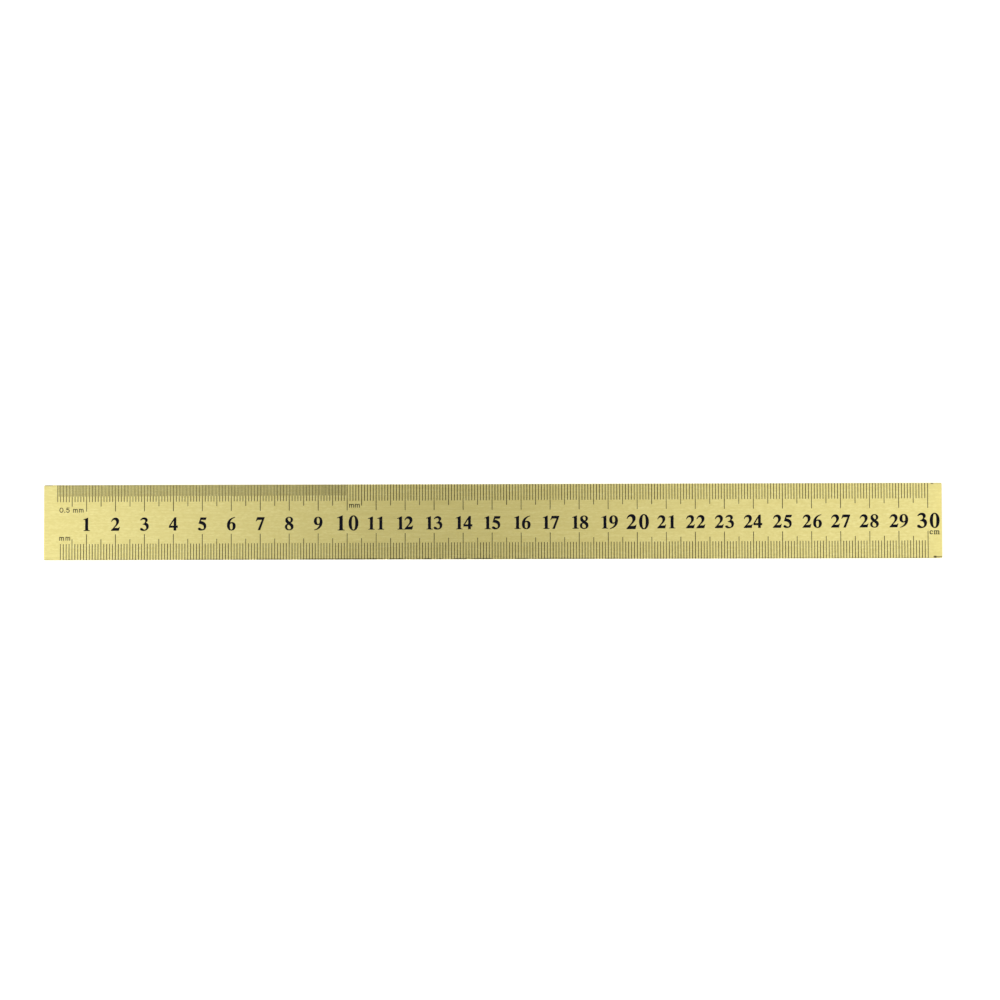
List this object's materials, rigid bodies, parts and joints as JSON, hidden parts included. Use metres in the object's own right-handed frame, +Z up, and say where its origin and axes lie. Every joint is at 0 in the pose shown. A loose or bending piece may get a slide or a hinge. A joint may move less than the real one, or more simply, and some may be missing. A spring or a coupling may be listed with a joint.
{
  "type": "metal ruler",
  "caption": "Flat metal rule with square ends, for measuring and drawing lines: millimetre scales run along both long edges, with numerals between them.",
  "frame": {"origin": "centre of the back face, the flat face that the ruler lies on", "axes": "+X along the scales, from 0 towards the last centimetre; +Y across the ruler, towards the edge whose scale starts at 0 with half millimetres; +Z up, out of the marked front face"},
  "size_m": [0.3096, 0.026, 0.001],
  "materials": {
    "brass_strip": "fine brushed along its length, satin",
    "black_enamel": "thin baked printing enamel, semi-matt"
  },
  "bodies": {
    "root": {"blade": "brass_strip", "upper_half_millimetre_lines": "black_enamel", "upper_millimetre_lines": "black_enamel", "lower_millimetre_lines": "black_enamel", "numeral_1": "black_enamel", "numeral_2": "black_enamel", "numeral_3": "black_enamel", "numeral_4": "black_enamel", "numeral_5": "black_enamel", "numeral_6": "black_enamel", "numeral_7": "black_enamel", "numeral_8": "black_enamel", "numeral_9": "black_enamel", "numeral_10_tens": "black_enamel", "numeral_10_units": "black_enamel", "numeral_11_tens": "black_enamel", "numeral_11_units": "black_enamel", "numeral_12_tens": "black_enamel", "numeral_12_units": "black_enamel", "numeral_13_tens": "black_enamel", "numeral_13_units": "black_enamel", "numeral_14_tens": "black_enamel", "numeral_14_units": "black_enamel", "numeral_15_tens": "black_enamel", "numeral_15_units": "black_enamel", "numeral_16_tens": "black_enamel", "numeral_16_units": "black_enamel", "numeral_17_tens": "black_enamel", "numeral_17_units": "black_enamel", "numeral_18_tens": "black_enamel", "numeral_18_units": "black_enamel", "numeral_19_tens": "black_enamel", "numeral_19_units": "black_enamel", "numeral_20_tens": "black_enamel", "numeral_20_units": "black_enamel", "numeral_21_tens": "black_enamel", "numeral_21_units": "black_enamel", "numeral_22_tens": "black_enamel", "numeral_22_units": "black_enamel", "numeral_23_tens": "black_enamel", "numeral_23_units": "black_enamel", "numeral_24_tens": "black_enamel", "numeral_24_units": "black_enamel", "numeral_25_tens": "black_enamel", "numeral_25_units": "black_enamel", "numeral_26_tens": "black_enamel", "numeral_26_units": "black_enamel", "numeral_27_tens": "black_enamel", "numeral_27_units": "black_enamel", "numeral_28_tens": "black_enamel", "numeral_28_units": "black_enamel", "numeral_29_tens": "black_enamel", "numeral_29_units": "black_enamel", "numeral_30_tens": "black_enamel", "numeral_30_units": "black_enamel"}
  },
  "joints": []
}
